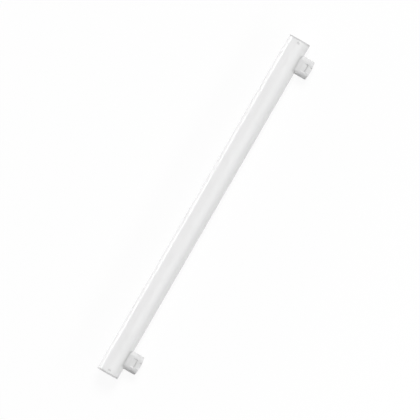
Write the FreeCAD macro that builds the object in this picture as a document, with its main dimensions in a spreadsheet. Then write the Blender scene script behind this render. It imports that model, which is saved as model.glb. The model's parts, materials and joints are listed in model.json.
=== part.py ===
import FreeCAD, Part
import Sketcher
import math
import os

# Linear lamp: an opal tube, an end cap pressed into each end, and near each end a side cap that
# plugs into a lamp holder and carries a contact. All sizes are in millimetres.
# X runs along the tube and Z is up. The lamp lies as it comes to rest on a table: on the tube and
# on the lower edge of both side caps, so it is rolled a little about X. The origin is on the table,
# in the middle of the lamp's outline seen from above.
# Every piece is drawn with the tube's axis along X, the side caps towards -Y and their flat faces
# towards +Z and -Z. Its Placement then rolls it and sets it down.

SIZES = (
    ("lamp_length", 500.0, "over both end caps"),
    ("tube_radius", 15.0, "outside of the tube"),
    ("tube_wall", 1.5, "wall of the tube round the end sockets"),
    ("tube_edge", 0.3, "chamfer on the tube's end edges"),
    ("flange_thickness", 1.6, "disc that closes the tube"),
    ("flange_edge", 0.5, "chamfer on the disc's outer edge"),
    ("flange_seam", 0.25, "chamfer on the disc's inner edge, which shows as a seam"),
    ("spigot_length", 10.0, "ring of the end cap that enters the tube"),
    ("spigot_wall", 1.8, "wall of that ring"),
    ("spigot_gap", 0.15, "radial play of the ring in the tube"),
    ("spigot_chamfer", 0.5, "lead-in chamfer on the ring"),
    ("socket_spare", 1.0, "depth of the end socket past the ring"),
    ("tongue_width", 7.0, "spring tongue of the ring"),
    ("tongue_root", 1.5, "ring left whole between the disc and the tongue"),
    ("tongue_slot", 1.0, "slot on each side of a tongue"),
    ("latch_inset", 5.5, "middle of a latch from the lamp's end"),
    ("latch_length", 2.2, "latch along the tube"),
    ("latch_width", 4.0, "latch across the tube"),
    ("latch_corner", 0.5, "corner radius of a latch"),
    ("latch_sink", 0.35, "face of a latch below the tube's surface"),
    ("latch_gap", 0.25, "play round a latch in its window"),
    ("cap_inset", 29.0, "middle of a side cap from the lamp's end"),
    ("cap_width", 26.0, "side cap along the tube"),
    ("cap_thickness", 16.0, "side cap between its two flat faces"),
    ("cap_corner", 7.0, "radius of the side cap's long edges"),
    ("cap_reach", 32.7, "crown of the side cap from the tube's axis"),
    ("cap_crown", 1.5, "rise of the crowned end over its width"),
    ("cap_edge", 0.8, "chamfer on the edge of the crowned end"),
    ("cap_seat", 7.0, "seat of the side cap from the tube's axis"),
    ("cap_gap", 0.2, "play round the side cap in the tube's opening"),
    ("detent_width", 12.0, "pocket that the holder's spring drops into"),
    ("detent_depth", 1.6, "depth of that pocket at its ledge"),
    ("detent_length", 7.0, "run of its sloping floor"),
    ("detent_inset", 6.6, "ledge from the crown of the end"),
    ("detent_corner", 1.2, "radius of the pocket's corners at the ledge"),
    ("ramp_width", 9.0, "lead-in ramp from the end towards the ledge"),
    ("ramp_depth", 1.4, "depth of the ramp at the crown of the end"),
    ("ramp_length", 5.0, "run of the ramp"),
    ("recess_width", 12.0, "contact recess along the tube"),
    ("recess_height", 6.0, "contact recess between the flat faces"),
    ("recess_corner", 1.5, "corner radius of the recess"),
    ("recess_depth", 3.0, "depth of the recess below the crown"),
    ("recess_chamfer", 0.4, "chamfer round the mouth of the recess"),
    ("contact_gap", 0.15, "play round the contact in its recess"),
    ("contact_thickness", 0.8, "contact plate"),
    ("bead_width", 7.0, "raised bead of the contact along the tube"),
    ("bead_height", 2.4, "raised bead across"),
    ("bead_corner", 1.1, "corner radius of the bead"),
    ("bead_rise", 0.8, "rise of the bead over the plate"),
    ("bead_edge", 0.4, "chamfer on the bead's upper edge"),
)

# Lengths worked out from the sizes, as expressions for the document.
TUBE_END = "(Size.lamp_length / 2 - Size.flange_thickness)"
SOCKET_RADIUS = "(Size.tube_radius - Size.tube_wall)"
SPIGOT_RADIUS = "(Size.tube_radius - Size.tube_wall - Size.spigot_gap)"
SPIGOT_END = "(Size.flange_thickness + Size.spigot_length)"
CAP_X = "(Size.lamp_length / 2 - Size.cap_inset)"
HALF_WIDTH = "(Size.cap_width / 2)"
HALF_THICKNESS = "(Size.cap_thickness / 2)"
SIDE_REACH = "(Size.cap_reach - Size.cap_crown)"
CROWN_RADIUS = f"(({HALF_WIDTH} ^ 2 + Size.cap_crown ^ 2) / (2 * Size.cap_crown))"
LEDGE = "(Size.cap_reach - Size.detent_inset)"
RECESS_FLOOR = "(Size.cap_reach - Size.recess_depth)"

# How the lamp lies. A side cap touches the table beside its ramp, where its flat face ends at the
# chamfer, and reaches furthest from the tube where the crowned end meets the other flat's chamfer.
CROWN_Y = f"(Size.cap_reach - {CROWN_RADIUS})"
TOUCH = f"({CROWN_Y} + sqrt(({CROWN_RADIUS} - Size.cap_edge) ^ 2 - (Size.ramp_width / 2) ^ 2))"
FURTHEST = f"({CROWN_Y} + sqrt({CROWN_RADIUS} ^ 2 - (Size.ramp_width / 2) ^ 2))"
ROLL = f"(asin(Size.tube_radius / hypot({TOUCH}; {HALF_THICKNESS})) - atan({HALF_THICKNESS} / {TOUCH}))"
OVERHANG = f"({FURTHEST} * cos({ROLL}) + ({HALF_THICKNESS} - Size.cap_edge) * sin({ROLL}))"
AXIS_Y = f"(({OVERHANG} - Size.tube_radius) / 2)"

# Two places nearer than this are the same place.
CLOSE = 1e-4
QUARTER_TURN = math.pi / 2

doc = FreeCAD.newDocument("linear_lamp")
sheet = doc.addObject("Spreadsheet::Sheet", "Size")
for row, (alias, value, meaning) in enumerate(SIZES, start=1):
    sheet.set(f"A{row}", meaning)
    sheet.set(f"B{row}", str(value))
    sheet.setAlias(f"B{row}", alias)
doc.recompute()


def value_of(text):
    """The number that an expression has now."""
    return float(sheet.evalExpression(text.replace("Size.", "")))


def new_body(name, x="0", turn="0"):
    """A body that is rolled with the lamp, x along the tube, after a turn about its own Z."""
    body = doc.addObject("PartDesign::Body", name)
    body.Label = name
    spin = f"rotation(vector(1; 0; 0); {ROLL}) * rotation(vector(0; 0; 1); {turn})"
    body.setExpression("Placement", f"placement(vector({x}; {AXIS_Y}; Size.tube_radius); {spin})")
    return body


def origin_plane(body, role):
    """The body's own plane with the given role, such as XY_Plane."""
    return next(plane for plane in body.Origin.OriginFeatures if plane.Role == role)


def new_sketch(body, name, role, offset="0"):
    """A sketch on one of the body's planes, or at an offset along that plane's normal."""
    sketch = body.newObject("Sketcher::SketchObject", name)
    sketch.AttachmentSupport = [(origin_plane(body, role), "")]
    sketch.MapMode = "FlatFace"
    sketch.setExpression("AttachmentOffset.Base.z", offset)
    return sketch


def constrain(sketch, kind, *where, text):
    """Add a dimension whose value follows an expression."""
    index = sketch.addConstraint(Sketcher.Constraint(kind, *where, value_of(text)))
    sketch.setExpression(f"Constraints[{index}]", text)


def pin(sketch, edge, end, x, y):
    """Fix one end of an edge at x, y from the sketch's origin."""
    constrain(sketch, "DistanceX", -1, 1, edge, end, text=x)
    constrain(sketch, "DistanceY", -1, 1, edge, end, text=y)


def add_polygon(sketch, corners):
    """A closed outline of straight edges through corners given as pairs of expressions."""
    places = [FreeCAD.Vector(value_of(x), value_of(y), 0) for x, y in corners]
    first = sketch.GeometryCount
    count = len(places)
    for i in range(count):
        sketch.addGeometry(Part.LineSegment(places[i], places[(i + 1) % count]))
    for i, (x, y) in enumerate(corners):
        sketch.addConstraint(
            Sketcher.Constraint("Coincident", first + (i - 1) % count, 2, first + i, 1)
        )
        pin(sketch, first + i, 1, x, y)


def add_circle(sketch, radius):
    """A circle about the sketch's origin."""
    circle = Part.Circle(FreeCAD.Vector(), FreeCAD.Vector(0, 0, 1), value_of(radius))
    edge = sketch.addGeometry(circle)
    sketch.addConstraint(Sketcher.Constraint("Coincident", edge, 3, -1, 1))
    constrain(sketch, "Radius", edge, text=radius)


def add_rounded_rectangle(sketch, width, height, radius, x="0"):
    """A rectangle with round corners, its middle at x on the sketch's horizontal axis."""
    wide = value_of(width) / 2
    high = value_of(height) / 2
    round_ = value_of(radius)
    middle = value_of(x)
    first = sketch.GeometryCount
    for along, across, quarter in ((1, 1, 0), (-1, 1, 1), (-1, -1, 2), (1, -1, 3)):
        centre = FreeCAD.Vector(middle + along * (wide - round_), across * (high - round_), 0)
        circle = Part.Circle(centre, FreeCAD.Vector(0, 0, 1), round_)
        start = quarter * QUARTER_TURN
        sketch.addGeometry(Part.ArcOfCircle(circle, start, start + QUARTER_TURN))
    for i in range(4):
        arc = sketch.Geometry[first + i]
        following = sketch.Geometry[first + (i + 1) % 4]
        sketch.addGeometry(Part.LineSegment(arc.EndPoint, following.StartPoint))
    for i in range(4):
        line = first + 4 + i
        sketch.addConstraint(Sketcher.Constraint("Tangent", first + i, 2, line, 1))
        sketch.addConstraint(Sketcher.Constraint("Tangent", line, 2, first + (i + 1) % 4, 1))
        direction = "Horizontal" if i % 2 == 0 else "Vertical"
        sketch.addConstraint(Sketcher.Constraint(direction, line))
    for i in range(1, 4):
        sketch.addConstraint(Sketcher.Constraint("Equal", first, first + i))
    constrain(sketch, "Radius", first, text=radius)
    pin(sketch, first + 4, 1, f"{x} + {width} / 2 - {radius}", f"{height} / 2")
    pin(sketch, first + 6, 1, f"{x} - {width} / 2 + {radius}", f"-{height} / 2")


def pad(body, name, sketch, length, midplane=False):
    """Raise a sketch to a length along its normal, or half each way."""
    feature = body.newObject("PartDesign::Pad", name)
    feature.Profile = sketch
    feature.SideType = "Symmetric" if midplane else "One side"
    feature.setExpression("Length", length)
    doc.recompute()
    return feature


def cut(body, name, sketch, length=None, midplane=False, outwards=False):
    """Cut a sketch into the body against its normal, to a length or through it all."""
    before = body.Shape.Volume
    feature = body.newObject("PartDesign::Pocket", name)
    feature.Profile = sketch
    feature.SideType = "Symmetric" if midplane else "One side"
    feature.Reversed = outwards
    if length is None:
        feature.Type = "ThroughAll"
    else:
        feature.setExpression("Length", length)
    doc.recompute()
    if body.Shape.Volume > before - CLOSE:
        raise RuntimeError(f"{name} cuts nothing")
    return feature


def mirror(body, name, originals, role):
    """Repeat features on the other side of one of the body's planes."""
    feature = body.newObject("PartDesign::Mirrored", name)
    feature.Originals = originals
    feature.MirrorPlane = (origin_plane(body, role), [""])
    body.Tip = feature
    doc.recompute()
    return feature


def dress(body, kind, name, size, wanted):
    """Round or bevel every edge of the body's last feature for which wanted(edge) is true."""
    base = body.Tip
    edges = [f"Edge{i}" for i, edge in enumerate(base.Shape.Edges, start=1) if wanted(edge)]
    if not edges:
        raise RuntimeError(f"{name} finds no edge")
    feature = body.newObject(f"PartDesign::{kind}", name)
    feature.Base = (base, edges)
    feature.setExpression("Radius" if kind == "Fillet" else "Size", size)
    doc.recompute()
    return feature


def ring_at(x, radius):
    """True for a circle of that radius about the tube's axis, at x along it."""

    def wanted(edge):
        round_edge = isinstance(edge.Curve, Part.Circle)
        return (
            round_edge
            and abs(edge.Curve.Radius - radius) < CLOSE
            and abs(edge.Curve.Center.x - x) < CLOSE
        )

    return wanted


def make_tube():
    """The opal tube, sealed and so solid inside, with what the caps enter cut into it."""
    body = new_body("opal_tube")
    section = new_sketch(body, "TubeSection", "YZ_Plane", f"-{TUBE_END}")
    add_circle(section, "Size.tube_radius")
    pad(body, "TubeLength", section, f"2 * {TUBE_END}")
    end = value_of(TUBE_END)
    radius = value_of("Size.tube_radius")
    dress(
        body,
        "Chamfer",
        "TubeEdges",
        "Size.tube_edge",
        lambda edge: ring_at(end, radius)(edge) or ring_at(-end, radius)(edge),
    )
    socket = new_sketch(body, "SocketSection", "YZ_Plane", TUBE_END)
    add_circle(socket, SOCKET_RADIUS)
    end_socket = cut(body, "EndSocket", socket, "Size.spigot_length + Size.socket_spare")
    opening = new_sketch(body, "OpeningOutline", "XZ_Plane", "Size.cap_seat")
    add_rounded_rectangle(
        opening,
        "(Size.cap_width + 2 * Size.cap_gap)",
        "(Size.cap_thickness + 2 * Size.cap_gap)",
        "(Size.cap_corner + Size.cap_gap)",
        CAP_X,
    )
    cap_opening = cut(body, "CapOpening", opening, outwards=True)
    window = new_sketch(body, "WindowOutline", "XY_Plane")
    add_rounded_rectangle(
        window,
        "(Size.latch_length + 2 * Size.latch_gap)",
        "(Size.latch_width + 2 * Size.latch_gap)",
        "(Size.latch_corner + Size.latch_gap)",
        "(Size.lamp_length / 2 - Size.latch_inset)",
    )
    latch_window = cut(body, "LatchWindow", window, midplane=True)
    mirror(body, "OtherEnd", [end_socket, cap_opening, latch_window], "YZ_Plane")
    return body


def make_end_cap(name, x, turn):
    """A moulded disc with a ring that enters the tube and two tongues that latch in its windows.
    It is drawn with the disc's outside at x = 0 and the ring towards +X."""
    body = new_body(name, x, turn)
    profile = new_sketch(body, "CapProfile", "XY_Plane")
    inner = f"({SPIGOT_RADIUS} - Size.spigot_wall)"
    add_polygon(
        profile,
        (
            ("0", "0"),
            ("0", "Size.tube_radius"),
            ("Size.flange_thickness", "Size.tube_radius"),
            ("Size.flange_thickness", SPIGOT_RADIUS),
            (SPIGOT_END, SPIGOT_RADIUS),
            (SPIGOT_END, inner),
            ("Size.flange_thickness", inner),
            ("Size.flange_thickness", "0"),
        ),
    )
    turned = body.newObject("PartDesign::Revolution", "DiscAndRing")
    turned.Profile = profile
    turned.ReferenceAxis = (profile, ["H_Axis"])
    turned.Angle = 360
    doc.recompute()
    radius = value_of("Size.tube_radius")
    inside = value_of("Size.flange_thickness")
    ring_end = value_of(SPIGOT_END)
    dress(body, "Chamfer", "DiscEdge", "Size.flange_edge", ring_at(0, radius))
    dress(body, "Chamfer", "DiscSeam", "Size.flange_seam", ring_at(inside, radius))
    dress(
        body,
        "Chamfer",
        "RingLeadIn",
        "Size.spigot_chamfer",
        ring_at(ring_end, value_of(SPIGOT_RADIUS)),
    )
    slots = new_sketch(body, "SlotOutlines", "XY_Plane")
    start = "(Size.flange_thickness + Size.tongue_root)"
    stop = f"({SPIGOT_END} + Size.tongue_slot)"
    for sign in ("", "-"):
        near = f"{sign}Size.tongue_width / 2"
        far = f"{sign}(Size.tongue_width / 2 + Size.tongue_slot)"
        add_polygon(slots, ((start, near), (stop, near), (stop, far), (start, far)))
    cut(body, "TongueSlots", slots, midplane=True)
    base = f"({SPIGOT_RADIUS} - Size.spigot_wall / 2)"
    outline = new_sketch(body, "LatchOutline", "XY_Plane", base)
    add_rounded_rectangle(
        outline,
        "Size.latch_length",
        "Size.latch_width",
        "Size.latch_corner",
        "Size.latch_inset",
    )
    latch = pad(body, "Latch", outline, f"Size.tube_radius - Size.latch_sink - {base}")
    mirror(body, "OtherLatch", [latch], "XY_Plane")
    return body


def make_side_cap(name, x):
    """The moulded cap that plugs into a lamp holder: an oblong body with a crowned end, on both
    flat faces a ramp that lifts the holder's spring and a pocket that it drops into behind a
    ledge, and a recess for the contact in the end."""
    body = new_body(name, x)
    outline = new_sketch(body, "CapOutline", "XY_Plane")
    corners = (
        (f"-{HALF_WIDTH}", f"-{SIDE_REACH}"),
        (f"-{HALF_WIDTH}", "-Size.cap_seat"),
        (HALF_WIDTH, "-Size.cap_seat"),
        (HALF_WIDTH, f"-{SIDE_REACH}"),
    )
    places = [FreeCAD.Vector(value_of(across), value_of(along), 0) for across, along in corners]
    crown = FreeCAD.Vector(0, -value_of("Size.cap_reach"), 0)
    for start, stop in zip(places, places[1:]):
        outline.addGeometry(Part.LineSegment(start, stop))
    outline.addGeometry(Part.Arc(places[0], crown, places[3]))
    for i, (across, along) in enumerate(corners[:3]):
        pin(outline, i, 1, across, along)
    pin(outline, 2, 2, *corners[3])
    outline.addConstraint(Sketcher.Constraint("Coincident", 0, 2, 1, 1))
    outline.addConstraint(Sketcher.Constraint("Coincident", 1, 2, 2, 1))
    outline.addConstraint(Sketcher.Constraint("Coincident", 3, 1, 0, 1))
    outline.addConstraint(Sketcher.Constraint("Coincident", 3, 2, 2, 2))
    constrain(outline, "Radius", 3, text=CROWN_RADIUS)
    pad(body, "CapThickness", outline, "Size.cap_thickness", midplane=True)

    def is_long_edge(edge):
        ends = [vertex.Point for vertex in edge.Vertexes]
        return (
            isinstance(edge.Curve, Part.Line)
            and abs(ends[0].x - ends[1].x) < CLOSE
            and abs(ends[0].z - ends[1].z) < CLOSE
        )

    dress(body, "Fillet", "LongRounds", "Size.cap_corner", is_long_edge)
    side_reach = value_of(SIDE_REACH)
    dress(
        body,
        "Chamfer",
        "EndEdge",
        "Size.cap_edge",
        lambda edge: all(vertex.Y < CLOSE - side_reach for vertex in edge.Vertexes),
    )
    half = value_of(HALF_THICKNESS)
    detents = new_sketch(body, "DetentProfiles", "YZ_Plane")
    ramps = new_sketch(body, "RampProfiles", "YZ_Plane")
    over = f"({HALF_THICKNESS} + Size.detent_depth)"
    for sign in ("", "-"):
        add_polygon(
            detents,
            (
                (f"-{LEDGE}", f"{sign}({HALF_THICKNESS} - Size.detent_depth)"),
                (f"-{LEDGE} + Size.detent_length", f"{sign}{HALF_THICKNESS}"),
                (f"-{LEDGE} + Size.detent_length", f"{sign}{over}"),
                (f"-{LEDGE}", f"{sign}{over}"),
            ),
        )
        add_polygon(
            ramps,
            (
                ("-Size.cap_reach", f"{sign}({HALF_THICKNESS} - Size.ramp_depth)"),
                ("-Size.cap_reach + Size.ramp_length", f"{sign}{HALF_THICKNESS}"),
                ("-Size.cap_reach + Size.ramp_length", f"{sign}{over}"),
                ("-Size.cap_reach", f"{sign}{over}"),
            ),
        )
    cut(body, "DetentPockets", detents, "Size.detent_width", midplane=True)
    ledge = value_of(LEDGE)
    half_pocket = value_of("Size.detent_width / 2")

    def is_pocket_corner(edge):
        middle = edge.CenterOfMass
        return (
            isinstance(edge.Curve, Part.Line)
            and abs(middle.y + ledge) < CLOSE
            and abs(abs(middle.x) - half_pocket) < CLOSE
            and abs(middle.z) < half
        )

    dress(body, "Fillet", "PocketCorners", "Size.detent_corner", is_pocket_corner)
    cut(body, "LeadInRamps", ramps, "Size.ramp_width", midplane=True)
    recess = new_sketch(body, "RecessOutline", "XZ_Plane", "Size.cap_reach")
    add_rounded_rectangle(
        recess, "Size.recess_width", "Size.recess_height", "Size.recess_corner"
    )
    cut(body, "ContactRecess", recess, "Size.recess_depth")
    mouth = value_of("Size.recess_depth / 2 - Size.cap_reach")
    half_recess = value_of("Size.recess_width / 2")
    half_recess_height = value_of("Size.recess_height / 2")

    def is_mouth(edge):
        return all(
            vertex.Y < mouth
            and abs(vertex.X) < half_recess + CLOSE
            and abs(vertex.Z) < half_recess_height + CLOSE
            for vertex in edge.Vertexes
        )

    dress(body, "Chamfer", "RecessMouth", "Size.recess_chamfer", is_mouth)
    return body


def make_contact(name, x):
    """The pressed metal plate on the floor of a side cap's recess, with a raised bead."""
    body = new_body(name, x)
    outline = new_sketch(body, "PlateOutline", "XZ_Plane", RECESS_FLOOR)
    add_rounded_rectangle(
        outline,
        "(Size.recess_width - 2 * Size.contact_gap)",
        "(Size.recess_height - 2 * Size.contact_gap)",
        "(Size.recess_corner - Size.contact_gap)",
    )
    pad(body, "Plate", outline, "Size.contact_thickness")
    top = f"({RECESS_FLOOR} + Size.contact_thickness)"
    raised = new_sketch(body, "BeadOutline", "XZ_Plane", top)
    add_rounded_rectangle(raised, "Size.bead_width", "Size.bead_height", "Size.bead_corner")
    pad(body, "Bead", raised, "Size.bead_rise")
    bead_top = value_of(f"{top} + Size.bead_rise")
    dress(
        body,
        "Chamfer",
        "BeadEdge",
        "Size.bead_edge",
        lambda edge: all(abs(vertex.Y + bead_top) < CLOSE for vertex in edge.Vertexes),
    )
    return body


def check_document():
    """Stop if any object failed, or a piece has no sound solid."""
    for item in doc.Objects:
        if {"Invalid", "Error"} & set(item.State):
            raise RuntimeError(f"{item.Name} failed: {item.State}")
    for piece in pieces:
        if piece.Shape.isNull() or not piece.Shape.isValid() or len(piece.Shape.Solids) != 1:
            raise RuntimeError(f"{piece.Label} is not one valid solid")


pieces = [
    make_tube(),
    make_end_cap("end_cap_left", "-Size.lamp_length / 2", "0"),
    make_end_cap("end_cap_right", "Size.lamp_length / 2", "180"),
    make_side_cap("side_cap_left", f"-{CAP_X}"),
    make_side_cap("side_cap_right", CAP_X),
    make_contact("contact_left", f"-{CAP_X}"),
    make_contact("contact_right", CAP_X),
]
doc.recompute()
check_document()

os.makedirs("parts", exist_ok=True)
for piece in pieces:
    piece.Shape.exportStep(f"parts/{piece.Label}.step")
    print(piece.Label, round(piece.Shape.Volume, 1), "mm3")
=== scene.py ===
import json
import math

import bmesh
import bpy
import numpy as np
from bpy.props import FloatProperty, FloatVectorProperty, PointerProperty
from mathutils import Matrix, Vector


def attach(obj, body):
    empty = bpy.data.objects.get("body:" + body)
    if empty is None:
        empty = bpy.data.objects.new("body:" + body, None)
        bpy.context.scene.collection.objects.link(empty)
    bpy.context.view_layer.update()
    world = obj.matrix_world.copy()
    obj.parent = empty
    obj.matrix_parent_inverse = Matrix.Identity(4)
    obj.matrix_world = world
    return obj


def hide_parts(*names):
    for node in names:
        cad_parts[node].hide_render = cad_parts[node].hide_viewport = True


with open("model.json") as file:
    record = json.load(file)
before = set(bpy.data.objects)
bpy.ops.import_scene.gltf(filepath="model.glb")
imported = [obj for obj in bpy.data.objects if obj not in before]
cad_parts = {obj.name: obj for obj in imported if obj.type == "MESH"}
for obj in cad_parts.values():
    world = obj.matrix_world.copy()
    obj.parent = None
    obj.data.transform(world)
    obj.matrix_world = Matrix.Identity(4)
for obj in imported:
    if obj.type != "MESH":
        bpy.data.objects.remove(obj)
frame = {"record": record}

# A linear lamp lying on a pale floor: an opal tube, an end cap in each end, and near each end a
# side cap that plugs into a lamp holder. Every piece is worked out in the lamp's own directions,
# in metres: X along the tube's axis, -Y out through the side caps, Z out of their flat faces.
# in_row_frame then rolls it and sets it down where the CAD model lies.

bl_info = {
    "name": "Linear lamp",
    "version": (1, 0, 0),
    "blender": (4, 5, 0),
    "location": "3D View > Sidebar > Lamp",
    "description": "Builds a linear lamp with two side caps, and a pale studio round it",
    "category": "Object",
}

MM = 0.001
BODY = "root"
SIDES = (("left", -1), ("right", 1))
CLOSE = 1e-6  # metres: vertices nearer than this are one
SHARP = math.radians(38)  # edges sharper than this aren't shaded smooth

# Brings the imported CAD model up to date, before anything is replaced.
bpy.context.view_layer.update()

# How the lamp lies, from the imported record: the plug's axis is the lamp's -Y.
MOUNTS = {mount["name"]: mount for mount in frame["record"]["mounts"]}
OUT = MOUNTS["plug_right"]["axis"]
ROLL = math.atan2(-OUT[2], -OUT[1])
END_X, AXIS_Y, AXIS_Z = MOUNTS["end_face_right"]["pos_m"]
CAP_X = MOUNTS["plug_right"]["pos_m"][0]


def length(name, millimetres, description):
    """A property for one length, in metres, with its default given in millimetres."""
    return FloatProperty(
        name=name,
        description=description,
        default=millimetres * MM,
        min=0,
        precision=5,
        subtype="DISTANCE",
        unit="LENGTH",
    )


def colour(name, code, description):
    """A property for one colour, with its default given as sRGB hex."""
    return FloatVectorProperty(
        name=name,
        description=description,
        default=linear(code)[:3],
        min=0,
        max=1,
        size=3,
        subtype="COLOR",
    )


def linear(code):
    """Linear RGBA for an sRGB hex code such as F0F0F0."""
    part = np.array([int(code[i : i + 2], 16) / 255 for i in (0, 2, 4)])
    value = np.where(part <= 0.04045, part / 12.92, ((part + 0.055) / 1.055) ** 2.4)
    return (*value.tolist(), 1.0)


class LampSizes(bpy.types.PropertyGroup):
    """Sizes of the lamp's visible pieces."""

    tube_radius: length("Tube radius", 15, "Outside radius of the opal tube")
    bore_radius: length("Bore radius", 13.5, "Radius of the socket in each end of the tube")
    flange: length("End disc", 1.6, "Thickness of the disc that closes the tube")
    ring_radius: length("Ring radius", 13.35, "Outside of the end cap's ring")
    ring_wall: length("Ring wall", 1.8, "Wall of the end cap's ring")
    ring_length: length("Ring length", 10, "How far the ring enters the tube")
    socket_spare: length("Socket spare", 1, "Depth of the socket past the ring")
    latch_inset: length("Latch inset", 5.5, "Middle of a latch from the lamp's end")
    latch_half_x: length("Latch half length", 1.1, "Half a latch along the tube")
    latch_half_y: length("Latch half width", 2, "Half a latch across the tube")
    latch_corner: length("Latch corner", 0.5, "Corner radius of a latch")
    latch_gap: length("Latch gap", 0.07, "Play round a latch in its window")
    latch_sink: length("Latch sink", 0.1, "Face of a latch below the tube's surface")
    cap_half_x: length("Side cap half width", 13, "Half a side cap along the tube")
    cap_half_z: length("Side cap half thickness", 8, "Half a side cap between its flats")
    cap_corner: length("Side cap corner", 7, "Radius of the side cap's long edges")
    cap_reach: length("Side cap reach", 32.7, "Crown of a side cap from the tube's axis")
    cap_crown: length("Side cap crown", 1.5, "Rise of the crowned end over its width")
    cap_round: length("Side cap end round", 1, "Radius between the sides and the crowned end")
    cap_seat: length("Side cap seat", 7, "Seat of a side cap from the tube's axis")
    cap_gap: length("Side cap gap", 0.24, "Play round a side cap in the tube's opening")
    pocket_half: length("Pocket half width", 6, "Half the pocket for the holder's spring")
    pocket_depth: length("Pocket depth", 1.6, "Depth of the pocket at its ledge")
    pocket_run: length("Pocket run", 7, "Length of the pocket's sloping floor")
    pocket_inset: length("Ledge inset", 6.6, "Ledge from the crown of the end")
    pocket_corner: length("Pocket corner", 1.4, "Radius of the pocket's corners at the ledge")
    ramp_half: length("Ramp half width", 4.5, "Half the lead-in ramp")
    ramp_depth: length("Ramp depth", 1.4, "Depth of the ramp at the crown")
    ramp_run: length("Ramp run", 5, "Length of the ramp")
    recess_half_x: length("Recess half width", 6, "Half the contact recess along the tube")
    recess_half_z: length("Recess half height", 3, "Half the contact recess across")
    recess_corner: length("Recess corner", 1.5, "Corner radius of the recess")
    recess_depth: length("Recess depth", 3, "Floor of the recess below the crown")
    contact_gap: length("Contact gap", 0.15, "Play round the contact in its recess")
    contact_plate: length("Contact plate", 0.8, "Thickness of the contact's plate")
    bead_half_x: length("Bead half length", 3.5, "Half the contact's bead along the tube")
    bead_half_z: length("Bead half height", 1.2, "Half the contact's bead across")
    bead_corner: length("Bead corner", 1.1, "Corner radius of the bead")
    bead_rise: length("Bead rise", 0.8, "Rise of the bead over the plate")
    wall_draft: length("Wall draft", 1.1, "Width of a pocket's or ramp's sloping wall")
    seam: length("Seam", 0.27, "Shadow gap between the tube and its end disc")
    disc_edge: length("Disc edge", 0.65, "Round on the end disc's outer edge")
    edge: length("Moulded edge", 0.3, "Round on the edges of tube and mouldings")


class LampColours(bpy.types.PropertyGroup):
    """Base colours of the lamp and of the floor."""

    opal: colour("Opal tube", "F8F8F8", "Extruded opal polycarbonate")
    opal_cloud: colour("Opal cloud", "F4F4F4", "Where the opal pigment lies a little thinner")
    # painted shade: the opal drawn greyer on the side caps' side, for light the lamp's inside
    # would take up
    opal_painted_side_shade: colour("Opal over carrier", "E3E3E3", "Where the strip's carrier lies behind")
    # painted shade: the opal drawn darker round each side cap's root, where tube and cap meet
    opal_painted_root_shade: colour("Opal over side cap", "BCBCBC", "Where a side cap's root lies behind")
    moulding: colour("Moulding", "E0E0E0", "Moulded caps")
    moulding_shade: colour("Moulding shade", "DADADA", "Flow marks in the moulded caps")
    # painted shade: the side cap drawn darker where it enters the tube
    moulding_painted_entry_shade: colour("Moulding by tube", "D2D2D2", "Side cap where it enters the tube")
    nickel: colour("Contact", "CFCBC3", "Nickel plating")
    nickel_dull: colour("Contact, dull", "B5B1A9", "Plating where it is rubbed dull")
    floor: colour("Floor", "D2D2D2", "Paper under the lamp")


# Surfaces


def in_row_frame(points):
    """Lamp directions to the row frame: y and z turned by the roll about X, then moved so that
    the tube's axis is at AXIS_Y, AXIS_Z."""
    x, y, z = np.asarray(points, float).T
    cos, sin = math.cos(ROLL), math.sin(ROLL)
    return np.stack([x, AXIS_Y + y * cos - z * sin, AXIS_Z + y * sin + z * cos], axis=1)


def grid(x, y, z, keep=None):
    """Quads over a grid of points whose last column joins the first. keep is a mask of the cells
    to make. Returns points and faces."""
    x, y, z = np.broadcast_arrays(x, y, z)
    points = np.stack([x.ravel(), y.ravel(), z.ravel()], axis=1)
    here = np.arange(x.size).reshape(x.shape)
    after = np.roll(here, -1, axis=1)
    faces = np.stack([here[:-1], here[1:], after[1:], after[:-1]], axis=-1)
    return points, faces.reshape(-1, 4) if keep is None else faces[keep]


def joined(parts):
    """Several (points, faces) as one."""
    starts = np.cumsum([0] + [len(points) for points, _ in parts[:-1]])
    points = np.concatenate([points for points, _ in parts])
    faces = np.concatenate([faces + start for (_, faces), start in zip(parts, starts)])
    return points, faces


def image(part):
    """The part's image across x = 0, with its faces turned round to match."""
    points, faces = part
    return points * (-1, 1, 1), faces[:, ::-1]


def closed_piece(name, part):
    """A mesh object from a part: doubles merged, normals recalculated outwards, shaded smooth but
    for its sharp edges. Stops if the surface isn't closed."""
    points, faces = part
    mesh = bpy.data.meshes.new(name)
    mesh.from_pydata(in_row_frame(points).tolist(), [], faces.tolist())
    work = bmesh.new()
    work.from_mesh(mesh)
    bmesh.ops.remove_doubles(work, verts=work.verts, dist=CLOSE)
    bmesh.ops.recalc_face_normals(work, faces=work.faces)
    open_edges = sum(not edge.is_manifold for edge in work.edges)
    work.to_mesh(mesh)
    work.free()
    if open_edges:
        raise RuntimeError(f"{name} isn't closed at {open_edges} edges")
    mesh.shade_smooth()
    mesh.set_sharp_from_angle(angle=SHARP)
    piece = bpy.data.objects.new(name, mesh)
    bpy.context.scene.collection.objects.link(piece)
    return piece


def eased(t):
    """0 below 0, 1 above 1, and 3t^2 - 2t^3 between."""
    t = np.clip(t, 0, 1)
    return t * t * (3 - 2 * t)


def quarter(steps):
    """Angles of a quarter round after its start."""
    return np.linspace(0, math.pi / 2, steps + 1)[1:]


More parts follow.
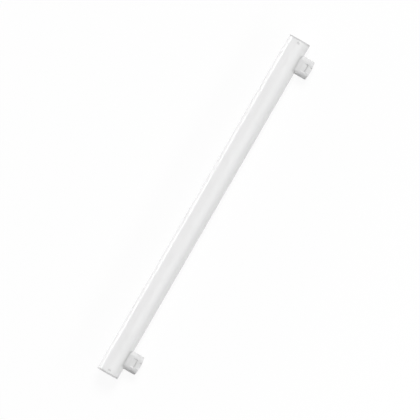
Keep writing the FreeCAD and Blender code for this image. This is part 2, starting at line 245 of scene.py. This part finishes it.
class Oblong:
    """A rectangle with round corners in X and Z, as points once round it. Each has a corner
    centre (a, b), in units of the straight half sides, and an outward direction (c, s). For half
    sides and radius (hx, hz, r) it is (a (hx - r) + c r, b (hz - r) + s r), so outlines of every
    size share the same points."""

    def __init__(self, long_steps, arc_steps, short_steps):
        turn = np.linspace(0, math.pi / 2, arc_steps + 1)[1:-1]
        along = np.linspace(-1, 1, long_steps + 1)
        short = np.linspace(-1, 1, short_steps + 1)
        runs = (
            (1, 1, np.cos(turn), np.sin(turn)),
            (-along, 1, 0, 1),
            (-1, 1, -np.sin(turn), np.cos(turn)),
            (-1, -short, -1, 0),
            (-1, -1, -np.cos(turn), -np.sin(turn)),
            (along, -1, 0, -1),
            (1, -1, np.sin(turn), -np.cos(turn)),
            (1, short, 1, 0),
        )
        stacked = [np.stack(np.broadcast_arrays(*np.atleast_1d(*run))) for run in runs]
        self.a, self.b, self.c, self.s = np.concatenate(stacked, axis=1).astype(float)

    def at(self, hx, hz, r):
        """x and z of the outline."""
        return self.a * (hx - r) + self.c * r, self.b * (hz - r) + self.s * r

    def towards_spine(self, hx, hz, r, share):
        """x and z of the outline drawn in towards the line between its end centres."""
        return self.a * (hx - r) + self.c * r * share, (self.b * (hz - r) + self.s * r) * share


# The tube and its end caps

ROUND = 144  # columns round the tube
TURN = np.linspace(0, 2 * math.pi, ROUND, endpoint=False)  # from -Y towards +Z
LATCH_FIELD = (2.5 * MM, 10, 5)  # block of cells round a latch: half length, cells, half columns
LATCH_COLUMNS = ((ROUND // 4, 1), (3 * ROUND // 4, -1))  # middle column, and its side in Z
OPENING_FIELD = (16 * MM, 16, 16)  # the same round a side cap's opening


def turned(profile, blocks):
    """A profile of (x, radius) rows carried round the X axis: y = -r cos t, z = r sin t. The
    cells of each block (x of its ends, middle column, half columns, radius) are left out."""
    middle = (profile[1:] + profile[:-1]) / 2
    keep = np.ones((len(middle), ROUND), bool)
    for lines, column, half, radius in blocks:
        inside = (middle[:, 0] > lines[0]) & (middle[:, 0] < lines[-1])
        inside &= np.abs(middle[:, 1] - radius) < CLOSE
        keep[np.ix_(inside, np.arange(column - half, column + half) % ROUND)] = False
    x, r = profile[:, :1], profile[:, 1:]
    return grid(x, -r * np.cos(TURN), r * np.sin(TURN), keep)


class Hole:
    """An oblong outline within a block of cells on a cylinder. Every point once round the block
    has a ray to the middle, in x and in q, the sine of its angle times the radius; an outline's
    points are where the rays meet it."""

    def __init__(self, lines, column, half, radius):
        angles = np.arange(column - half, column + half + 1) * (TURN[1] - TURN[0])
        n, m = len(lines) - 1, len(angles) - 1
        near, far = np.full(m, lines[0]), np.full(m, lines[-1])
        low, high = np.full(n, angles[0]), np.full(n, angles[-1])
        self.x = np.concatenate([lines[:-1], far, lines[:0:-1], near])
        self.t = np.concatenate([low, angles[:-1], high, angles[:0:-1]]) - angles[half]
        self.radius = radius
        self.middle = (lines[0] + lines[-1]) / 2
        ray = np.stack([self.x - self.middle, radius * np.sin(self.t)])
        self.ray = ray / np.hypot(*ray)

    def outline(self, size, grow=0.0, share=1.0):
        """x and q of an oblong (half x, half q, corner radius) grown by a length. A ray ends on
        the straight sides, or else on a corner's circle."""
        hx, hq, r = (v + grow for v in size)
        dx, dq = np.abs(self.ray) + 1e-12  # never 0, for the divisions
        cx, cq = hx - r, hq - r
        along = dx * cx + dq * cq
        corner = along + np.sqrt(np.maximum(along**2 - cx**2 - cq**2 + r**2, 0))
        far = np.where(hx / dx * dq <= cq, hx / dx, np.where(hq / dq * dx <= cx, hq / dq, corner))
        return self.middle + self.ray[0] * far * share, self.ray[1] * far * share

    def approach(self, size, grow=0.0):
        """Rows of x, q and height from the block's edge to the outline, straight in x and angle
        on the cylinder."""
        x, q = self.outline(size, grow)
        t = np.arcsin(q / self.radius)
        share = np.linspace(0, 1, 4)[:, None]
        angle = self.t + (t - self.t) * share
        return [
            (self.x + (x - self.x) * w, self.radius * np.sin(a), self.radius * np.cos(a))
            for w, a in zip(share, angle)
        ]

    def rim(self, size, rim):
        """Rows of a quarter round from the cylinder down into the outline."""
        rows = []
        for angle in quarter(3):
            x, q = self.outline(size, rim * (1 - math.sin(angle)))
            r = self.radius - rim * (1 - math.cos(angle))
            rows.append((x, q, np.sqrt(r**2 - q**2)))
        return rows


def skin(rows):
    """x, q and height of a list of rows as one grid of surface, in three arrays."""
    return (np.array(values) for values in zip(*rows))


def block_lines(middle, field):
    """x of the lines across a block of cells."""
    return np.linspace(middle - field[0], middle + field[0], field[1] + 1)


def tube_part(s):
    """The tube as a closed skin: its outside, rounded ends, end faces, sockets and their floors
    are one profile turned about X. Each side cap has an opening down to its seat, and each latch
    a window through to the socket. It is made for x > 0 and mirrored."""
    radius, bore = s.tube_radius, s.bore_radius
    end = END_X - s.flange - s.seam / 2
    floor = END_X - s.flange - s.ring_length - s.socket_spare
    openings = block_lines(CAP_X, OPENING_FIELD)
    windows = block_lines(END_X - s.latch_inset, LATCH_FIELD)
    half = LATCH_FIELD[2]
    outside = [*np.linspace(0, openings[0], 21), *openings[1:], *windows, end - s.edge]
    profile = [(x, radius) for x in outside]
    for q in quarter(4):
        profile.append((end - s.edge * (1 - math.sin(q)), radius - s.edge * (1 - math.cos(q))))
    profile += [(x, bore) for x in (end, *windows[::-1])]
    profile += [(floor, bore * share) for share in (1, 0.66, 0.33, 0)]
    blocks = [(openings, 0, OPENING_FIELD[2], radius)]
    blocks += [(windows, column, half, r) for column, _ in LATCH_COLUMNS for r in (radius, bore)]
    parts = [turned(np.array(profile), blocks)]

    hole = Hole(openings, 0, OPENING_FIELD[2], radius)
    size = [v + s.cap_gap for v in (s.cap_half_x, s.cap_half_z, s.cap_corner)]
    rows = hole.approach(size, s.edge) + hole.rim(size, s.edge)
    x, q, height = rows[-1]
    rows += [(x, q, height + (s.cap_seat - height) * w) for w in (0.25, 0.5, 0.75, 1)]
    seat = np.full(x.shape, s.cap_seat)
    rows += [(*hole.outline(size, share=w), seat) for w in (0.66, 0.33, 0)]
    x, q, height = skin(rows)
    parts.append(grid(x, -height, q))

    size = [v + s.latch_gap for v in (s.latch_half_x, s.latch_half_y, s.latch_corner)]
    for column, side in LATCH_COLUMNS:
        outer, inner = (Hole(windows, column, half, r) for r in (radius, bore))
        rows = outer.approach(size, s.edge / 2) + outer.rim(size, s.edge / 2)
        x, q, height = skin(rows + inner.approach(size)[::-1])
        parts.append(grid(x, q * side, height * side))
    half_tube = joined(parts)
    return joined([half_tube, image(half_tube)])


def end_cap_part(s):
    """The end cap at +X: a disc with a rounded rim and a groove where it meets the tube, and the
    ring inside the tube, as one profile turned about X. Two latches rise from the ring, each an
    oblong with flat top and rounded edge."""
    radius, ring = s.tube_radius, s.ring_radius
    inner = ring - s.ring_wall
    face = END_X - s.flange + s.seam / 2
    last = END_X - s.flange - s.ring_length
    latches = block_lines(END_X - s.latch_inset, LATCH_FIELD)
    rim, lip = s.disc_edge, s.edge * 0.7
    profile = [(END_X, (radius - rim) * share) for share in (0, 0.25, 0.5, 0.75, 1)]
    for q in quarter(6):
        profile.append((END_X - rim * (1 - math.cos(q)), radius - rim * (1 - math.sin(q))))
    for q in (0, *quarter(4)):
        profile.append((face + lip * (1 - math.sin(q)), radius - lip * (1 - math.cos(q))))
    profile += [(x, ring) for x in (face, *latches[::-1], last + s.edge)]
    profile += [(last, ring - s.edge), (last, inner)]
    profile += [(face, inner * share) for share in (1, 0.5, 0)]
    half = LATCH_FIELD[2]
    blocks = [(latches, column, half, ring) for column, _ in LATCH_COLUMNS]
    parts = [turned(np.array(profile), blocks)]
    size = (s.latch_half_x, s.latch_half_y, s.latch_corner)
    top, edge = radius - s.latch_sink, s.edge / 2
    for column, side in LATCH_COLUMNS:
        hole = Hole(latches, column, half, ring)
        rows = hole.approach(size)
        for q in (0, *quarter(3)):
            x, across = hole.outline(size, edge * (math.cos(q) - 1))
            rows.append((x, across, np.full(x.shape, top - edge * (1 - math.sin(q)))))
        for share in (0.5, 0):
            x, across = hole.outline(size, -edge, share)
            rows.append((x, across, np.full(x.shape, top)))
        x, across, height = skin(rows)
        parts.append(grid(x, across * side, height * side))
    return joined(parts)


# Side caps and contacts


def crown(s, x):
    """How far the crowned end is from the tube's axis, at x from the cap's middle: an arc that
    falls by cap_crown at the cap's sides."""
    radius = (s.cap_half_x**2 + s.cap_crown**2) / (2 * s.cap_crown)
    return s.cap_reach - radius + np.sqrt(radius**2 - x**2)


def in_ramp(s, x):
    """1 within the lead-in ramp's width, 0 beside it, eased over its drafted wall."""
    return eased((s.ramp_half - np.abs(x)) / s.wall_draft)


def sunk(s, x, out):
    """How deep a flat face is cut, at x from the cap's middle and out from the tube's axis. The
    pocket's floor slopes down to its ledge, the ramp's down to the end, and each ends in drafted
    walls; the pocket's run round its corners at a radius."""
    corner = s.pocket_corner
    ledge = s.cap_reach - s.pocket_inset
    px = np.abs(x) - s.pocket_half + corner
    py = out - ledge + corner
    outside = np.hypot(np.maximum(px, 0), np.maximum(py, 0)) + np.minimum(np.maximum(px, py), 0)
    wall = eased((corner - outside) / s.wall_draft)
    pocket = s.pocket_depth * np.clip(1 - (ledge - out) / s.pocket_run, 0, 1) * wall
    ramp = s.ramp_depth * np.clip(1 - (s.cap_reach - out) / s.ramp_run, 0, 1) * in_ramp(s, x)
    return np.maximum(pocket, ramp)


def side_cap_part(s):
    """A side cap about x = 0: an oblong carried out from its seat, its flats lowered by sunk,
    then a quarter round to the crowned end, the rounded mouth of the contact's recess, the wall
    of the recess and its floor. In the ramp the end's round is small. Rows lie closest where the
    flats are cut."""
    hx, hz, r = s.cap_half_x, s.cap_half_z, s.cap_corner
    ring = Oblong(long_steps=96, arc_steps=18, short_steps=4)
    on_flat = (np.abs(ring.s) == 1) & (ring.c == 0)

    def x_at(inward):
        """x of a row offset inward."""
        return ring.a * (hx - r) + ring.c * (r - inward)

    def row(inward, out):
        """A row offset inward, out from the tube's axis, with the flats lowered by sunk."""
        x = x_at(inward)
        z = ring.b * (hz - r) + ring.s * (r - inward)
        out = np.broadcast_to(out, x.shape)
        return x, z - np.sign(z) * np.where(on_flat, sunk(s, x, out), 0), out

    side_x = x_at(0)
    seat = np.full(side_x.shape, s.cap_seat)
    rows = [(*ring.towards_spine(hx, hz, r, share), seat) for share in (0, 0.5)]
    near = s.cap_reach - s.pocket_inset - s.pocket_run
    far = s.cap_reach - s.cap_crown - s.cap_round - s.edge
    fixed = (*np.linspace(s.cap_seat, near, 9), *np.linspace(near, far, 76)[1:])
    rows += [row(0, out) for out in fixed]
    bare = np.where(on_flat, in_ramp(s, side_x), 0)
    end_round = s.cap_round + (s.edge - s.cap_round) * bare
    rim = crown(s, side_x) - end_round
    rows += [row(0, far + (rim - far) * share) for share in np.linspace(0, 1, 7)[1:]]
    for q in quarter(8):
        inward = end_round * (1 - math.cos(q))
        rows.append(row(inward, crown(s, x_at(inward)) - end_round * (1 - math.sin(q))))

    recess = (s.recess_half_x, s.recess_half_z, s.recess_corner)
    mouth = s.edge * 1.3  # round on the recess's edge
    from_x, from_z, _ = rows[-1]
    to_x, to_z = ring.at(*(v + mouth for v in recess))
    for share in np.linspace(0, 1, 13)[1:]:
        x = from_x + (to_x - from_x) * share
        rows.append((x, from_z + (to_z - from_z) * share, crown(s, x)))
    for q in quarter(4):
        x, z = ring.at(*(v + mouth * (1 - math.sin(q)) for v in recess))
        rows.append((x, z, crown(s, x) - mouth * (1 - math.cos(q))))
    x, z, out = rows[-1]
    floor = s.cap_reach - s.recess_depth
    rows += [(x, z, out + (floor - out) * share) for share in (0.33, 0.66, 1)]
    rows += [(*ring.towards_spine(*recess, share), np.full(x.shape, floor)) for share in (0.5, 0)]
    x, z, out = skin(rows)
    return grid(x, -out, z)


def contact_part(s):
    """The pressed contact about x = 0: a plate with rounded edges, a hollow curve up to the bead,
    and the bead's dome, whose height over the share w of the way in from its outline is
    (1 - (1 - w)^n)^(1 / n), with n the dome's power."""
    ring = Oblong(long_steps=28, arc_steps=8, short_steps=4)
    gap, edge = s.contact_gap, s.edge * 0.6
    dome, inmost = 2.4, 0.98  # the dome's power, and how near its last ring comes to the spine
    plate = (s.recess_half_x - gap, s.recess_half_z - gap, s.recess_corner - gap)
    bead = (s.bead_half_x, s.bead_half_z, s.bead_corner)
    floor = s.cap_reach - s.recess_depth
    top = floor + s.contact_plate
    count = ring.a.shape
    rows = [(*ring.towards_spine(*plate, w), np.full(count, floor)) for w in (0, 0.5, 1)]
    for q in (0, *quarter(4)):
        x, z = ring.at(*(v - edge * (1 - math.cos(q)) for v in plate))
        rows.append((x, z, np.full(count, top - edge * (1 - math.sin(q)))))
    for q in quarter(4)[:-1]:
        x, z = ring.at(*(v + edge * (1 - math.sin(q)) for v in bead))
        rows.append((x, z, np.full(count, top + edge * (1 - math.cos(q)))))
    for share in np.linspace(0, 1, 11)[1:]:
        rise = (1 - (1 - share) ** dome) ** (1 / dome)
        x, z = ring.at(*(v - s.bead_corner * inmost * share for v in bead))
        rows.append((x, z, np.full(count, top + edge + (s.bead_rise - edge) * rise)))
    x, z, out = rows[-1]
    rows.append((x, np.zeros(count), out))
    x, z, out = skin(rows)
    return grid(x, -out, z)


# Materials

# The patterns, as features per metre along X, Y and Z, from their size on the real surface.
DRAW_LINES = (6, 830, 830)  # 1.2 mm apart, and long along the tube
CLOUD = (13.2, 33, 33)  # about 30 mm across the tube and 75 mm along it
GRAIN = (3300, 3300, 3300)  # 0.3 mm
FLOW = (110, 176, 176)  # about 9 mm along the tube and 6 mm across it
RUBS = (120, 2500, 2500)  # 0.4 mm apart, and 8 mm long
WEAR = (420, 420, 420)  # about 2.4 mm
FIBRE = (900, 900, 900)  # about 1.1 mm
SPREAD = {"From Min": 0.3, "From Max": 0.7}  # the part of a noise's range that is used

# Where a painted shade lies, from none of it to all of it: out from the tube's axis towards the
# side caps, and beside a side cap's middle along the tube.
PAINTED_SIDE_SHADE_OUT = (-1 * MM, 10.5 * MM)
PAINTED_ROOT_SHADE_OUT = (8 * MM, 14 * MM)
PAINTED_ROOT_SHADE_BESIDE = (13.5 * MM, 9.5 * MM)
PAINTED_ENTRY_SHADE_OUT = (15.2 * MM, 12 * MM)
PAINTED_ENTRY_SHADE_BESIDE = (16 * MM, 14 * MM)


def add(tree, kind, inputs=None, **settings):
    """Adds a node with its settings; inputs are values, or sockets to link from."""
    node = tree.nodes.new("ShaderNode" + kind)
    for name, value in settings.items():
        setattr(node, name, value)
    for name, value in (inputs or {}).items():
        if isinstance(value, bpy.types.NodeSocket):
            tree.links.new(value, node.inputs[name])
        else:
            node.inputs[name].default_value = value
    return node


def cleared(data):
    """The node tree of a new material or world, with nothing in it."""
    data.use_nodes = True
    data.node_tree.nodes.clear()
    return data.node_tree


def noise(tree, per_metre, detail=2.0):
    """A noise pattern on Object coordinates, from its features per metre."""
    place = add(tree, "TexCoord").outputs["Object"]
    mapped = add(tree, "Mapping", {"Vector": place, "Scale": per_metre}).outputs["Vector"]
    inputs = {"Vector": mapped, "Scale": 1.0, "Detail": detail}
    return add(tree, "TexNoise", inputs).outputs["Fac"]


def towards_caps(tree, start, stop):
    """0 to 1 over a range of lengths out from the tube's axis towards the side caps."""
    place = add(tree, "TexCoord").outputs["Object"]
    inputs = {0: place, 1: (0, -math.cos(ROLL), -math.sin(ROLL))}
    out = add(tree, "VectorMath", inputs, operation="DOT_PRODUCT").outputs["Value"]
    axis = -AXIS_Y * math.cos(ROLL) - AXIS_Z * math.sin(ROLL)
    inputs = {"Value": out, "From Min": axis + start, "From Max": axis + stop}
    return add(tree, "MapRange", inputs, interpolation_type="SMOOTHSTEP").outputs["Result"]


def beside_caps(tree, start, stop):
    """0 to 1 over a range of lengths along the tube from a side cap's middle, on both sides."""
    place = add(tree, "TexCoord").outputs["Object"]
    x = add(tree, "SeparateXYZ", {"Vector": place}).outputs["X"]
    along = add(tree, "Math", {0: x}, operation="ABSOLUTE").outputs["Value"]
    apart = add(tree, "Math", {0: along, 1: CAP_X}, operation="SUBTRACT").outputs["Value"]
    beside = add(tree, "Math", {0: apart}, operation="ABSOLUTE").outputs["Value"]
    inputs = {"Value": beside, "From Min": start, "From Max": stop}
    return add(tree, "MapRange", inputs, interpolation_type="SMOOTHSTEP").outputs["Result"]


def near_caps(tree, out, beside):
    """1 where towards_caps and beside_caps both are, each over its own range."""
    shares = {0: towards_caps(tree, *out), 1: beside_caps(tree, *beside)}
    return add(tree, "Math", shares, operation="MULTIPLY").outputs["Value"]


def layered(tree, base, *layers):
    """A base colour with others laid over it in turn, each by its share."""
    tone = (*base, 1)
    for share, over in layers:
        inputs = {0: share, 6: tone, 7: (*over, 1)}
        tone = add(tree, "Mix", inputs, data_type="RGBA").outputs[2]
    return tone


def finished(tree, inputs):
    """Ends a material in one Principled surface."""
    shader = add(tree, "BsdfPrincipled", inputs)
    add(tree, "OutputMaterial", {"Surface": shader.outputs["BSDF"]})


def opal_polycarbonate(c):
    """Extruded opal polycarbonate: light goes in and spreads about a millimetre, so its shading
    is soft; a satin skin with very faint draw lines along the tube, and a slow cloudiness where
    the pigment varies. On the side caps' side a painted shade makes it a shade greyer, for light
    that the inside of the lamp would take up, and a darker painted shade lies round each side
    cap's root, where the tube meets it."""
    material = bpy.data.materials.new("extruded opal polycarbonate")
    tree = cleared(material)
    lines = noise(tree, DRAW_LINES)
    cloudy = {"Value": noise(tree, CLOUD), **SPREAD}
    rough = {"Value": lines, **SPREAD, "To Min": 0.23, "To Max": 0.27}
    layers = (
        (add(tree, "MapRange", cloudy).outputs["Result"], c.opal_cloud),
        # painted shade on the side caps' side of the tube
        (towards_caps(tree, *PAINTED_SIDE_SHADE_OUT), c.opal_painted_side_shade),
        # painted shade round each side cap's root
        (near_caps(tree, PAINTED_ROOT_SHADE_OUT, PAINTED_ROOT_SHADE_BESIDE), c.opal_painted_root_shade),
    )
    inputs = {
        "Base Color": layered(tree, c.opal, *layers),
        "Roughness": add(tree, "MapRange", rough).outputs["Result"],
        "IOR": 1.58,
        "Normal": add(tree, "Bump", {"Height": lines, "Distance": 0.012 * MM}).outputs["Normal"],
        "Subsurface Weight": 0.7,
        "Subsurface Radius": (1, 1, 1),
        "Subsurface Scale": 0.6 * MM,
    }
    finished(tree, inputs)
    return material


def moulded_polycarbonate(c):
    """Moulded white polycarbonate: a fine spark-eroded grain that dulls its gloss, and flow marks
    a shade greyer. Where a side cap enters the tube it has a painted shade, for the shade that
    the tube's wall round it casts."""
    material = bpy.data.materials.new("moulded white polycarbonate")
    tree = cleared(material)
    grain = noise(tree, GRAIN)
    flowed = {"Value": noise(tree, FLOW), **SPREAD}
    rough = {"Value": grain, **SPREAD, "To Min": 0.5, "To Max": 0.6}
    layers = (
        (add(tree, "MapRange", flowed).outputs["Result"], c.moulding_shade),
        # painted shade where the side cap enters the tube
        (near_caps(tree, PAINTED_ENTRY_SHADE_OUT, PAINTED_ENTRY_SHADE_BESIDE), c.moulding_painted_entry_shade),
    )
    inputs = {
        "Base Color": layered(tree, c.moulding, *layers),
        "Roughness": add(tree, "MapRange", rough).outputs["Result"],
        "IOR": 1.58,
        "Normal": add(tree, "Bump", {"Height": grain, "Distance": 0.008 * MM}).outputs["Normal"],
        "Subsurface Weight": 0.15,
        "Subsurface Radius": (1, 1, 1),
        "Subsurface Scale": 0.8 * MM,
    }
    finished(tree, inputs)
    return material


def plated_nickel(c):
    """Nickel plating on pressed brass: warm grey metal with fine rub marks along the bead, duller
    where the holder's contact has touched it."""
    material = bpy.data.materials.new("plated nickel")
    tree = cleared(material)
    rubs = noise(tree, RUBS, detail=3.0)
    worn = {"Value": noise(tree, WEAR), **SPREAD}
    rough = {"Value": rubs, **SPREAD, "To Min": 0.22, "To Max": 0.42}
    dull = (add(tree, "MapRange", worn).outputs["Result"], c.nickel_dull)
    inputs = {
        "Base Color": layered(tree, c.nickel, dull),
        "Metallic": 1.0,
        "Roughness": add(tree, "MapRange", rough).outputs["Result"],
        "Normal": add(tree, "Bump", {"Height": rubs, "Distance": 0.006 * MM}).outputs["Normal"],
    }
    finished(tree, inputs)
    return material


# The studio

WHITE = (1, 1, 1, 1)
SHADOW_SHARE = 0.08  # how much of the floor's shading the camera sees
FIBRE_TONE = 0.985  # the paper's darker fibres against the rest
FLOOR_HALF = 4.0  # metres
WORLD_LIGHT = 0.18
PHOTO_MM_PER_PIXEL = 1.297
IMAGE_WIDTH = 420
LENS, SENSOR = 800.0, 36.0
TUBE_SLOPE = math.radians(60)  # the tube against the picture's lower edge
AXIS_OFFSET = (-6.2, 3.3)  # middle of the tube from the picture's middle, right and up, in pixels


def lamp_direction(x, y, z):
    """A direction in the lamp's own axes, in the row frame."""
    origin, point = in_row_frame([(0, 0, 0), (x, y, z)])
    return Vector(point - origin).normalized()


# Each light's name, the direction it comes from, its distance, width and height, and its
# radiance. The card only shows in gloss, where it makes the pale line along the tube's far edge.
LIGHTS = (
    ("key", lamp_direction(0.64, 0.18, 0.75), 16.0, 7.0, 7.0, 8.7),
    ("fill", (0, -1, 0.45), 1.6, 4.0, 0.20, 6.2),
    ("back", (0, 1, 0.12), 1.6, 4.0, 0.26, 5.0),
)
CARD = ("card", (0, 1, 0.04), 1.6, 4.0, 0.16, 12.0)


def camera_rays(tree):
    """1 for rays that see the backdrop straight from the camera, in gloss or through glass."""
    rays = add(tree, "LightPath").outputs
    either = {0: rays["Is Camera Ray"], 1: rays["Is Glossy Ray"]}
    seen = add(tree, "Math", either, operation="MAXIMUM").outputs["Value"]
    either = {0: seen, 1: rays["Is Transmission Ray"]}
    return add(tree, "Math", either, operation="MAXIMUM").outputs["Value"]


def paper(c):
    """Matt white paper. To the camera it is mostly its own white, as an overexposed studio sweep
    is, and keeps a share of its shading for the lamp's soft shadow."""
    material = bpy.data.materials.new("white paper")
    tree = cleared(material)
    fibrous = {"Value": noise(tree, FIBRE), **SPREAD}
    share = add(tree, "MapRange", fibrous).outputs["Result"]
    tone = layered(tree, c.floor, (share, [v * FIBRE_TONE for v in c.floor]))
    matt = add(tree, "BsdfDiffuse", {"Color": tone}).outputs["BSDF"]
    lit = add(tree, "BsdfDiffuse", {"Color": WHITE}).outputs["BSDF"]
    white = add(tree, "Emission", {"Color": WHITE, "Strength": 1.0}).outputs["Emission"]
    seen = add(tree, "MixShader", {0: SHADOW_SHARE, 1: white, 2: lit}).outputs["Shader"]
    both = add(tree, "MixShader", {0: camera_rays(tree), 1: matt, 2: seen}).outputs["Shader"]
    add(tree, "OutputMaterial", {"Surface": both})
    return material


def add_light(name, source, distance, width, height, radiance, gloss_only=False):
    """An area light that shines at the lamp. Its power is 4 times its area times its radiance.
    The camera doesn't see it. It either lights the lamp and doesn't show in its gloss, or only
    shows in gloss."""
    data = bpy.data.lights.new(name, "AREA")
    data.shape = "RECTANGLE"
    data.size, data.size_y = width, height
    data.energy = 4 * width * height * radiance
    direction = Vector(source).normalized()
    light = bpy.data.objects.new(name, data)
    light.location = Vector((0, AXIS_Y, AXIS_Z)) + direction * distance
    light.rotation_mode = "QUATERNION"
    light.rotation_quaternion = direction.to_track_quat("Z", "Y")
    light.visible_camera = False
    light.visible_diffuse = not gloss_only
    light.visible_glossy = gloss_only
    bpy.context.scene.collection.objects.link(light)


def add_camera():
    """The photograph's view: square to the side caps' flats, the tube at 60 degrees, from far
    enough that both ends look the same width."""
    data = bpy.data.cameras.new("camera")
    data.lens, data.sensor_width = LENS, SENSOR
    data.clip_start, data.clip_end = 0.01, 100
    along, out, back = (lamp_direction(*axis) for axis in ((1, 0, 0), (0, -1, 0), (0, 0, 1)))
    cos, sin = math.cos(TUBE_SLOPE), math.sin(TUBE_SLOPE)
    right = along * cos + out * sin
    up = along * sin - out * cos
    pixel = PHOTO_MM_PER_PIXEL * MM
    distance = IMAGE_WIDTH * pixel * LENS / SENSOR
    aim = Vector((0, AXIS_Y, AXIS_Z)) - (right * AXIS_OFFSET[0] + up * AXIS_OFFSET[1]) * pixel
    camera = bpy.data.objects.new("camera", data)
    camera.rotation_mode = "QUATERNION"
    camera.rotation_quaternion = Matrix((right, up, back)).transposed().to_quaternion()
    camera.location = aim + back * distance
    bpy.context.scene.collection.objects.link(camera)
    bpy.context.scene.camera = camera


def add_world():
    """White where it is seen, and a dimmer even light on the lamp."""
    world = bpy.data.worlds.new("studio")
    tree = cleared(world)
    dim = add(tree, "Background", {"Color": WHITE, "Strength": WORLD_LIGHT})
    white = add(tree, "Background", {"Color": WHITE, "Strength": 1.0})
    inputs = {0: camera_rays(tree), 1: dim.outputs["Background"], 2: white.outputs["Background"]}
    add(tree, "OutputWorld", {"Surface": add(tree, "MixShader", inputs).outputs["Shader"]})
    bpy.context.scene.world = world


def add_floor(c):
    """A square of paper under the lamp."""
    corners = [(x, y, 0) for x, y in ((-1, -1), (1, -1), (1, 1), (-1, 1))]
    mesh = bpy.data.meshes.new("floor")
    mesh.from_pydata([Vector(v) * FLOOR_HALF for v in corners], [], [(0, 1, 2, 3)])
    mesh.materials.append(paper(c))
    floor = bpy.data.objects.new("floor", mesh)
    bpy.context.scene.collection.objects.link(floor)


# Operators


def put(name, part, node, material):
    """Makes a piece, and puts it in place of its CAD node."""
    piece = closed_piece(name, part)
    piece.data.materials.append(material)
    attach(piece, BODY)
    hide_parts(node)


class LAMP_OT_stage(bpy.types.Operator):
    """Add the paper floor, the soft lights and the camera"""

    bl_idname = "lamp.stage"
    bl_label = "Studio"

    def execute(self, context):
        context.scene.view_settings.view_transform = "Standard"
        add_floor(context.scene.lamp_colours)
        add_world()
        for light in LIGHTS:
            add_light(*light)
        add_light(*CARD, gloss_only=True)
        add_camera()
        return {"FINISHED"}


class LAMP_OT_tube(bpy.types.Operator):
    """Build the opal tube"""

    bl_idname = "lamp.tube"
    bl_label = "Opal tube"

    def execute(self, context):
        scene = context.scene
        part = tube_part(scene.lamp_sizes)
        material = opal_polycarbonate(scene.lamp_colours)
        put("tube", part, "opal_tube", material)
        return {"FINISHED"}


class LAMP_OT_end_caps(bpy.types.Operator):
    """Build the end cap at each end of the tube"""

    bl_idname = "lamp.end_caps"
    bl_label = "End caps"

    def execute(self, context):
        scene = context.scene
        right = end_cap_part(scene.lamp_sizes)
        material = moulded_polycarbonate(scene.lamp_colours)
        for side, part in (("left", image(right)), ("right", right)):
            put(f"end_disc_{side}", part, f"end_cap_{side}", material)
        return {"FINISHED"}


class LAMP_OT_side_caps(bpy.types.Operator):
    """Build the side caps that plug into the lamp holders, and the contact in each"""

    bl_idname = "lamp.side_caps"
    bl_label = "Side caps"

    def execute(self, context):
        scene = context.scene
        white = moulded_polycarbonate(scene.lamp_colours)
        metal = plated_nickel(scene.lamp_colours)
        cap, cap_faces = side_cap_part(scene.lamp_sizes)
        pin, pin_faces = contact_part(scene.lamp_sizes)
        for side, sign in SIDES:
            place = np.array([sign * CAP_X, 0, 0])
            part = cap + place, cap_faces
            put(f"plug_{side}", part, f"side_cap_{side}", white)
            part = pin + place, pin_faces
            put(f"bead_{side}", part, f"contact_{side}", metal)
        return {"FINISHED"}


OPERATORS = (LAMP_OT_stage, LAMP_OT_tube, LAMP_OT_end_caps, LAMP_OT_side_caps)


class LAMP_PT_parts(bpy.types.Panel):
    """The lamp's pieces, sizes and colours"""

    bl_idname = "LAMP_PT_parts"
    bl_label = "Linear lamp"
    bl_space_type = "VIEW_3D"
    bl_region_type = "UI"
    bl_category = "Lamp"

    def draw(self, context):
        for operator in OPERATORS:
            self.layout.operator(operator.bl_idname)
        for group in (context.scene.lamp_sizes, context.scene.lamp_colours):
            column = self.layout.column(align=True)
            for name in group.__annotations__:
                column.prop(group, name)


CLASSES = (LampSizes, LampColours, *OPERATORS, LAMP_PT_parts)


def register():
    """Adds the sizes, the colours, the operators and the panel."""
    for item in CLASSES:
        bpy.utils.register_class(item)
    bpy.types.Scene.lamp_sizes = PointerProperty(type=LampSizes)
    bpy.types.Scene.lamp_colours = PointerProperty(type=LampColours)


def unregister():
    """Takes them away again."""
    del bpy.types.Scene.lamp_colours
    del bpy.types.Scene.lamp_sizes
    for item in reversed(CLASSES):
        bpy.utils.unregister_class(item)


def main():
    register()
    bpy.ops.lamp.stage()
    bpy.ops.lamp.tube()
    bpy.ops.lamp.end_caps()
    bpy.ops.lamp.side_caps()


if __name__ == "__main__":
    main()
